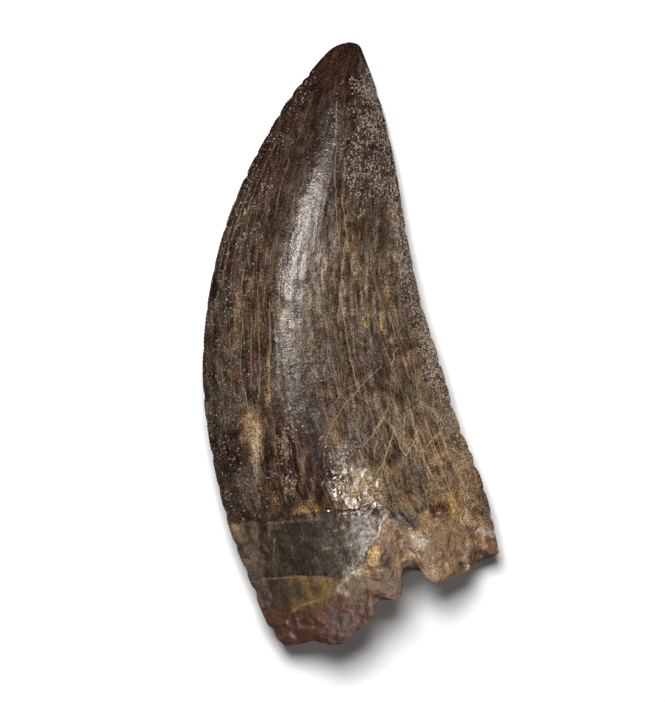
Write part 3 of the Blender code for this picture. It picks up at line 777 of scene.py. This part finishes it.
def vein_mask(points, share, across):
    """Where the lengthwise threads show: both flanks below the upper third, faintly elsewhere."""
    patchy = 0.6 * lumps(points + 90, 4)
    left = fall(across, 0.26, 0.36) * (1 - 0.7 * rise(share, 0.56, 0.68))
    right = rise(across, 0.42, 0.55) * fall(share, 0.75, 0.85)
    low = rise(share, 0.62, 0.7) * fall(across, 0.4, 0.5)
    low = low * rise(across, 0.12, 0.24)
    most = np.maximum(np.maximum(left, right), low) * rise(share, 0.15, 0.4)
    return np.clip(most * (1 + patchy), 0.25, 1)


def speckle_mask(points, share, across):
    """Where pale speckles gather: the hind edge, the upper part behind the crest, thinly elsewhere."""
    # These speckles stand partly for pale grains and partly for painted glints on the pitted enamel.
    cloud = 0.35 * lumps(points + 50, 3)
    hind = rise(across, 0.87, 0.97) * (1 - 0.7 * rise(share, 0.6, 0.9))
    upper = (0.26 + 0.44 * rise(across, 0.55, 0.85)) * rise(across + 0.6 * cloud, 0.38, 0.62)
    upper = upper * fall(share, 0.3, 0.36) * (1 + 1.2 * cloud)
    upper = upper * rise(share, 0.05, 0.1)
    front = 0.4 * fall(across, 0.12, 0.45)
    middle = 0.15 * rise(share, 0.4, 0.5)
    # Clusters of pale dots, partly powder and partly painted glints.
    powder_and_glints = sum(patch[5] * patch_mask(points[..., 0], points[..., 1], patch) for patch in POWDER_AND_GLINTS)
    most = np.maximum.reduce([hind, upper, front, middle, powder_and_glints])
    return np.clip(most * (1 + cloud) + 0.1, 0, 1) * rise(share, 0.03, 0.1)


def band_spots(points):
    """Pale crumbs on the right part of the dark band, standing partly for painted glints there."""
    return 0.42 * rise(points[..., 0] + lumps(points + 30, 1.6), -6, 2.5)


VECTORS = ("paint", "grain")
MASKS = ("speckle", "vein", "scratch", "shiny", "calm", "enamel", "grit", "hair", "shown")


class Skin:
    """Vertices with their colours and masks, and the faces between them."""

    def __init__(self):
        self.points, self.faces, self.count = [], [], 0
        self.values = {name: [] for name in VECTORS + MASKS}

    def add(self, points, **values):
        flat = points.reshape(-1, 3)
        self.points.append(flat)
        for name in VECTORS:
            self.values[name].append(values[name].reshape(-1, 3))
        for name in MASKS:
            mask = np.broadcast_to(values.get(name, 0), points.shape[:-1])
            self.values[name].append(mask.reshape(-1, 1))
        ids = self.count + np.arange(len(flat)).reshape(points.shape[:-1])
        self.count += len(flat)
        return ids

    def grid(self, ids, flip=False):
        quads = np.stack([ids[:-1, :-1], ids[:-1, 1:], ids[1:, 1:], ids[1:, :-1]], axis=-1).reshape(-1, 4)
        self.faces += [quad[::-1] if flip else quad for quad in quads.tolist()]

    def zip_rows(self, first, second):
        """Triangles between two rows that hold different numbers of vertices."""
        i = j = 0
        while i < len(first) - 1 or j < len(second) - 1:
            ahead = (i + 1) / (len(first) - 1) <= (j + 1) / (len(second) - 1)
            if j == len(second) - 1 or (ahead and i < len(first) - 1):
                self.faces.append([first[i], first[i + 1], second[j]])
                i += 1
            else:
                self.faces.append([first[i], second[j + 1], second[j]])
                j += 1


def set_down(upper, under, share, across):
    """Turns and lowers both faces so that the tooth lies on the ground, and joins their edges."""
    ground = ground_plane(under, share, across)
    for face in (upper, under):
        beneath = ground[0] + face[..., :2] @ ground[1:]
        face[..., 2] = np.maximum(face[..., 2] - beneath - SET_DOWN, 0)
        face[0] = face[0].mean(axis=0)
    under[0] = upper[0, 0]
    under[:, 0] = upper[:, 0]
    under[:, -1] = upper[:, -1]


def add_upper(skin, upper, grain, share, across):
    paint, zone = upper_colours(upper, share, across, grain)
    enamel = 1 - zone["root"]
    veins = vein_mask(upper, share, across)
    hair, shown = hair_fields(upper, share, across, HAIRS, UPPER_SEED, veins)
    shiny = shiny_mask(upper, zone)
    glossy = enamel + zone["band"] * (0.6 + 0.4 * shiny) + 0.35 * zone["olive"] + 0.2 * zone["red"]
    ids = skin.add(
        upper,
        paint=paint,
        grain=grain,
        speckle=speckle_mask(upper, share, across) * enamel + band_spots(upper) * zone["band"],
        vein=enamel * veins,
        scratch=enamel * rise(share, 0.55, 0.72) * rise(across, 0.45, 0.65),
        shiny=shiny,
        calm=calm_mask(upper),
        enamel=np.clip(glossy, 0, 1),
        grit=np.clip(zone["tan"] + 0.4 * zone["red"] + zone["left"], 0, 1),
        hair=hair,
        shown=shown * enamel,
    )
    skin.grid(ids, flip=True)
    return ids


def add_under(skin, under, grain, share, across, upper_ids):
    paint, root, red = under_colours(under, share, across, grain)
    hair, shown = hair_fields(under, share, across, [], UNDER_SEED, 1)
    ids = skin.add(
        under,
        paint=paint,
        grain=grain,
        speckle=0.5 * speckle_mask(under, share, across) * (1 - root),
        vein=(1 - root) * (0.35 + 0.65 * rise(share, 0.15, 0.5)),
        enamel=1 - root,
        grit=np.maximum(red, 0.6 * root),
        hair=hair,
        shown=shown * (1 - root),
    )
    ids[0] = upper_ids[0, 0]
    ids[:, 0] = upper_ids[:, 0]
    ids[:, -1] = upper_ids[:, -1]
    skin.grid(ids)
    return ids


def build_skin():
    shares = ring_shares()
    upper_across, under_across = column_places(UPPER_COLUMNS), column_places(UNDER_COLUMNS)
    upper_place = np.meshgrid(shares, upper_across, indexing="ij")
    under_place = np.meshgrid(shares, under_across, indexing="ij")
    upper, upper_grain = face_points(*upper_place, True)
    under, under_grain = face_points(*under_place, False)
    set_down(upper, under, *under_place)

    skin = Skin()
    upper_ids = add_upper(skin, upper, upper_grain, *upper_place)
    under_ids = add_under(skin, under, under_grain, *under_place, upper_ids)

    under_rim = np.stack([np.interp(upper_across, under_across, axis) for axis in under[-1].T], -1)
    broken, hollow = break_points(upper[-1], under_rim, upper_across)
    break_ids = skin.add(broken, paint=break_colours(broken, upper_across, hollow), grain=broken, grit=1)
    break_ids[0] = upper_ids[-1]
    break_ids[:, 0] = upper_ids[-1, 0]
    break_ids[:, -1] = upper_ids[-1, -1]
    skin.grid(break_ids[:-1], flip=True)
    skin.zip_rows(break_ids[-2], under_ids[-1])
    return skin


def drop_repeats(face):
    return [vertex for place, vertex in enumerate(face) if vertex != face[place - 1]]


def main_mesh():
    skin = build_skin()
    points = np.vstack(skin.points)
    faces = [drop_repeats(face) for face in skin.faces]
    faces = [face for face in faces if len(face) > 2]
    used = np.zeros(len(points), bool)
    for face in faces:
        used[face] = True
    renumber = np.cumsum(used) - 1
    mesh = bpy.data.meshes.new("fossil_tooth")
    mesh.from_pydata((points[used] * MM).tolist(), [], [renumber[face].tolist() for face in faces])
    for name, parts in skin.values.items():
        value = np.vstack(parts)[used]
        kind, field = ("FLOAT", "value") if name in MASKS else ("FLOAT_VECTOR", "vector")
        if name == "paint":
            kind, field = "FLOAT_COLOR", "color"
            value = np.column_stack([value, np.ones(len(value))])
        layer = mesh.attributes.new(name, kind, "POINT")
        layer.data.foreach_set(field, value.astype(np.float32).ravel())
    mesh.validate()
    mesh.shade_smooth()
    mesh.set_sharp_from_angle(angle=SHARP_EDGE)
    return mesh


# Material

class Nodes:
    """Short ways to add the shader nodes used here."""

    def __init__(self, material):
        material.use_nodes = True
        self.tree = material.node_tree
        self.shader = self.tree.nodes["Principled BSDF"]

    def add(self, kind, inputs=(), **settings):
        node = self.tree.nodes.new(kind)
        for name, value in settings.items():
            setattr(node, name, value)
        for name, value in dict(inputs).items():
            if hasattr(value, "node"):
                self.tree.links.new(value, node.inputs[name])
            else:
                node.inputs[name].default_value = value
        return node

    def link(self, output, name):
        self.tree.links.new(output, self.shader.inputs[name])

    def attribute(self, name, output="Fac"):
        return self.add("ShaderNodeAttribute", attribute_name=name).outputs[output]

    def math(self, operation, first, second=0, clamp=False):
        node = self.add("ShaderNodeMath", {0: first, 1: second}, operation=operation, use_clamp=clamp)
        return node.outputs[0]

    def times(self, value, *others):
        for other in others:
            value = self.math("MULTIPLY", value, other)
        return value

    def plus(self, value, *others):
        for other in others:
            value = self.math("ADD", value, other)
        return value

    def vector(self, operation, first, second):
        return self.add("ShaderNodeVectorMath", {0: first, 1: second}, operation=operation).outputs[0]

    def scaled(self, place, *scale):
        return self.vector("MULTIPLY", place, scale)

    def noise(self, place, scale, detail=2, roughness=0.5, distortion=0):
        inputs = {"Vector": place, "Scale": scale, "Detail": detail}
        inputs |= {"Roughness": roughness, "Distortion": distortion}
        return self.add("ShaderNodeTexNoise", inputs).outputs["Fac"]

    def ramp(self, value, low, high, to_low=0, to_high=1):
        inputs = {"Value": value, "From Min": low, "From Max": high, "To Min": to_low, "To Max": to_high}
        return self.add("ShaderNodeMapRange", inputs, interpolation_type="SMOOTHSTEP").outputs["Result"]

    def mix(self, share, first, second, blend="MIX"):
        node = self.add("ShaderNodeMix", {0: share, 6: first, 7: second}, data_type="RGBA", blend_type=blend)
        return node.outputs[2]


def tooth_material():
    material = bpy.data.materials.new("fossil_tooth_finish")
    n = Nodes(material)
    place = n.scaled(n.add("ShaderNodeTexCoord").outputs["Object"], 1000, 1000, 1000)
    wander = n.times(n.math("SUBTRACT", n.noise(place, 0.18, 1), 0.5), 1.2)
    sideways = n.add("ShaderNodeCombineXYZ", {0: wander}).outputs[0]
    grain = n.vector("ADD", n.attribute("grain", "Vector"), sideways)
    enamel, grit, shiny = n.attribute("enamel"), n.attribute("grit"), n.attribute("shiny")

    worm = n.noise(place, 4, 1.5, 0.6, 0.3)
    fibre = n.noise(n.scaled(grain, 1, 0.07, 1), 3.2, 2, 0.6)
    fine = n.noise(place, 6, 0)
    sand = n.noise(place, 3.2, 4, 0.65)
    streak = n.noise(n.scaled(grain, 1, 0.05, 1), 1.5, 3, 0.65)
    blot = n.noise(n.scaled(grain, 1, 0.45, 1), 1, 5, 0.68)

    grained = n.times(
        n.ramp(worm, 0.34, 0.66, 0.4, 1.7),
        n.ramp(fine, 0.3, 0.7, 0.8, 1.2),
        n.ramp(fibre, 0.33, 0.67, 0.72, 1.25),
    )
    grained = n.mix(n.ramp(enamel, 0.4, 0.8, 0.5, 1), (0.88, 0.88, 0.88, 1), grained)
    streaky = n.mix(n.attribute("vein"), (0.9, 0.9, 0.9, 1), n.ramp(streak, 0.38, 0.62, 0.62, 1.3))
    enamelled = n.times(grained, streaky)
    facets = {"Vector": warped(n, place), "Scale": 0.75}
    cells = n.add("ShaderNodeTexVoronoi", facets)
    facet = n.add("ShaderNodeSeparateColor", {0: cells.outputs["Color"]}).outputs[0]
    gaps = n.add("ShaderNodeTexVoronoi", facets, feature="DISTANCE_TO_EDGE")
    crack = n.ramp(n.plus(gaps.outputs["Distance"], n.ramp(blot, 0.4, 0.6, 0, 0.1)), 0, 0.05)
    ridges = {"Vector": place, "Scale": 0.55, "Detail": 5, "Roughness": 0.6, "Lacunarity": 2.2}
    ridge = n.add("ShaderNodeTexNoise", ridges, noise_type="RIDGED_MULTIFRACTAL", normalize=True)
    ridge = ridge.outputs["Fac"]
    rocky = n.times(
        n.ramp(facet, 0, 1, 0.85, 1.2),
        n.ramp(crack, 0, 1, 0.5, 1),
        n.ramp(ridge, 0.1, 0.8, 0.75, 1.8),
        n.ramp(sand, 0.32, 0.68, 0.66, 1.38),
        n.ramp(worm, 0.34, 0.66, 0.66, 1.4),
    )
    blotted = n.mix(grit, n.ramp(blot, 0.33, 0.67, 0.45, 1.55), n.ramp(blot, 0.33, 0.67, 0.8, 1.2))
    clouds = n.noise(n.scaled(grain, 1, 0.5, 1), 0.3, 2)
    cloudy = n.mix(enamel, (1, 1, 1, 1), n.ramp(clouds, 0.3, 0.7, 0.72, 1.25))
    shade = n.times(n.mix(grit, enamelled, rocky), blotted, cloudy)
    green, blue = n.math("POWER", shade, 1.12), n.math("POWER", shade, 1.2)
    shade = n.add("ShaderNodeCombineXYZ", {0: shade, 1: green, 2: blue}).outputs[0]
    colour = n.mix(1, n.attribute("paint", "Color"), shade, "MULTIPLY")

    patchy = n.ramp(n.noise(n.scaled(grain, 1, 0.5, 1), 0.33, 1), 0.35, 0.6)
    thread_mask = n.times(threads(n, grain, 0, 0), patchy, n.attribute("vein"), 0.35)
    colour = n.mix(thread_mask, colour, (*BUFF, 1))
    for turn, offset in ((16, 20), (-13, 40)):
        scratch_mask = n.times(threads(n, grain, turn, offset), n.attribute("scratch"), 0.32)
        colour = n.mix(scratch_mask, colour, (*BUFF, 1))
    uneven = n.times(n.math("SUBTRACT", n.noise(place, 1.2, 2), 0.5), 0.14)
    from_hair = n.math("ABSOLUTE", n.plus(n.attribute("hair"), uneven))
    hair_mask = n.times(
        n.ramp(from_hair, 0.02, 0.12, 0.9, 0), n.attribute("shown"), n.ramp(sand, 0.38, 0.56, 0.45, 1)
    )
    colour = n.mix(hair_mask, colour, (*HAIR_COLOUR, 1))
    # Pale speckles laid over the colour: partly grains, partly painted glints.
    dot_mask = speckles(n, place)
    n.link(n.mix(n.times(dot_mask, 0.9), colour, (*SPECKLE, 1)), "Base Color")

    n.shader.inputs["Specular IOR Level"].default_value = 0.4
    dull = n.ramp(enamel, 0.2, 0.9, 0.6, 0.17)
    roughness = n.math("SUBTRACT", dull, n.times(shiny, 0.1))
    n.link(n.math("ADD", roughness, n.times(dot_mask, 0.3), clamp=True), "Roughness")

    rest = n.ramp(n.attribute("calm"), 0, 1, 1, 0.2)
    folds = n.times(worm, n.ramp(shiny, 0, 1, 0.045, 0.03))
    height = n.plus(
        n.times(n.plus(folds, n.times(fine, 0.004), n.times(streak, 0.03)), rest),
        n.times(dot_mask, 0.01),
        n.times(sand, n.ramp(enamel, 0.4, 0.9, 0.1, 0)),
        n.times(crack, grit, 0.03),
        n.times(ridge, grit, 0.28),
    )
    bump = n.add("ShaderNodeBump", {"Height": height, "Strength": 1, "Distance": 0.001})
    n.link(bump.outputs["Normal"], "Normal")
    return material


def speckles(n, place):
    """A mask of round pale dots, larger and closer where they gather, with fine flecks between them."""
    # The dots and flecks stand partly for pale grains and partly for painted glints.
    gather = n.attribute("speckle")
    cells = n.add("ShaderNodeTexVoronoi", {"Vector": warped(n, place, 5, 0.4), "Scale": 3.3})
    chances = n.add("ShaderNodeSeparateColor", {0: cells.outputs["Color"]}).outputs
    size = n.math("SUBTRACT", n.plus(chances[1], gather), 1)
    beyond = n.math("SUBTRACT", n.ramp(size, 0, 0.6, 0, 0.58), cells.outputs["Distance"])
    dots = n.times(n.ramp(beyond, 0, 0.15), n.ramp(chances[0], 0, 0.6, 0.45, 1))
    flecks = n.ramp(n.noise(place, 4.2, 1, 0.5, 0.3), 0.58, 0.66, 0, 0.5)
    return n.math("MAXIMUM", dots, n.times(flecks, n.ramp(gather, 0.35, 1)))


def warped(n, place, scale=1.2, amount=1.2):
    """The place shifted by noise, so that cells drawn there have broken outlines."""
    shift = n.add("ShaderNodeTexNoise", {"Vector": place, "Scale": scale, "Detail": 2}).outputs["Color"]
    shift = n.vector("SUBTRACT", shift, (0.5, 0.5, 0.5))
    return n.vector("ADD", place, n.scaled(shift, amount, amount, amount))


def threads(n, grain, turn, offset):
    """A mask of thin broken lines along the grain, turned by some degrees."""
    turns = {"Vector": grain, "Angle": math.radians(turn)}
    turned = n.add("ShaderNodeVectorRotate", turns, rotation_type="Z_AXIS").outputs[0]
    moved = n.vector("ADD", turned, (offset, offset, 0))
    lines = n.noise(n.scaled(moved, 1, 0.05, 1), 1.7, 2, 0.5, 0.15)
    broken = n.ramp(n.noise(n.scaled(moved, 1, 0.3, 1), 1.1, 1), 0.4, 0.56)
    near = n.math("ABSOLUTE", n.math("SUBTRACT", lines, 0.5))
    return n.times(n.ramp(near, 0, 0.03, 1, 0), broken)


# Floor, light and camera

PIXELS_PER_MM = 6.793
PHOTO_HEIGHT = 702
PHOTO_CENTRE = (-2.7, -1.2)
EDGE_HEIGHT = 5
LENS = 400
SENSOR = 36
FLOOR_SIZE = 3
FLOOR_DEPTH = 0.00002
FLOOR_GREY = 0.94
WHITE = (1, 1, 1)
WARM_WHITE = (1, 0.97, 0.93)
LIGHT_DISTANCE = 0.6

# Lights: name, direction, width and height in metres, watts, colour, and what each one leaves unlit.
LIGHTS = [
    ("soft", (-0.078, 0.265, 0.96), (0.17, 0.2), 4.3, WHITE, "visible_glossy"),
    ("key", (-0.08, 0.42, 0.9), (0.08, 0.17), 1.6, WARM_WHITE, "visible_diffuse"),
    ("sheen", (0.04, 0.5, 0.87), (0.26, 0.18), 1.5, WARM_WHITE, "visible_diffuse"),
    ("low_right", (0.2, -0.32, 0.93), (0.2, 0.2), 8, WARM_WHITE, "visible_diffuse"),
]

# Brightness of the room by height: 0 is the horizon and all below it, 1 is straight above.
ROOM_LEVELS = ((0, 0.03), (0.3, 0.12), (0.95, 0.06))


def add_floor():
    corners = [(x * FLOOR_SIZE, y * FLOOR_SIZE, 0) for x, y in ((-1, -1), (1, -1), (1, 1), (-1, 1))]
    mesh = bpy.data.meshes.new("floor")
    mesh.from_pydata(corners, [], [(0, 1, 2, 3)])
    material = bpy.data.materials.new("floor_paper")
    material.use_nodes = True
    shader = material.node_tree.nodes["Principled BSDF"]
    shader.inputs["Base Color"].default_value = (FLOOR_GREY, FLOOR_GREY, FLOOR_GREY, 1)
    shader.inputs["Roughness"].default_value = 0.9
    shader.inputs["Specular IOR Level"].default_value = 0.1
    mesh.materials.append(material)
    floor = bpy.data.objects.new("floor", mesh)
    floor.location.z = -FLOOR_DEPTH
    floor.visible_glossy = False
    bpy.context.scene.collection.objects.link(floor)


def add_light(name, direction, size, watts, colour, unlit):
    light = bpy.data.lights.new(name, "AREA")
    light.shape = "RECTANGLE"
    light.size, light.size_y = size
    light.energy = watts
    light.color = colour
    lamp = bpy.data.objects.new(name, light)
    lamp.location = Vector(direction).normalized() * LIGHT_DISTANCE
    lamp.rotation_euler = Vector(direction).to_track_quat("Z", "Y").to_euler()
    setattr(lamp, unlit, False)
    bpy.context.scene.collection.objects.link(lamp)


def light_scene():
    """A soft light for form and shadow, three that only glint, and a dim room."""
    world = bpy.data.worlds.new("studio")
    world.use_nodes = True
    nodes, links = world.node_tree.nodes, world.node_tree.links
    direction = nodes.new("ShaderNodeSeparateXYZ")
    links.new(nodes.new("ShaderNodeTexCoord").outputs["Generated"], direction.inputs[0])
    ramp = nodes.new("ShaderNodeValToRGB")
    links.new(direction.outputs["Z"], ramp.inputs["Fac"])
    ramp.color_ramp.elements.new(0.5)
    for element, (place, level) in zip(ramp.color_ramp.elements, ROOM_LEVELS):
        element.position = place
        element.color = (level, level, level, 1)
    links.new(ramp.outputs["Color"], nodes["Background"].inputs["Color"])
    nodes["Background"].inputs["Strength"].default_value = 1
    bpy.context.scene.world = world
    for light in LIGHTS:
        add_light(*light)


def add_camera():
    distance = PHOTO_HEIGHT / PIXELS_PER_MM / SENSOR * LENS + EDGE_HEIGHT
    data = bpy.data.cameras.new("camera")
    data.lens = LENS
    data.sensor_width = SENSOR
    data.clip_start, data.clip_end = 0.01, 10
    camera = bpy.data.objects.new("camera", data)
    camera.location = (PHOTO_CENTRE[0] * MM, PHOTO_CENTRE[1] * MM, distance * MM)
    bpy.context.scene.collection.objects.link(camera)
    bpy.context.scene.camera = camera


def main():
    bpy.context.scene.view_settings.view_transform = "Standard"
    mesh = main_mesh()
    mesh.materials.append(tooth_material())
    tooth = bpy.data.objects.new("fossil_tooth", mesh)
    bpy.context.scene.collection.objects.link(tooth)
    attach(tooth, "root")
    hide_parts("tooth")
    add_floor()
    light_scene()
    add_camera()


main()
bpy.context.view_layer.update()
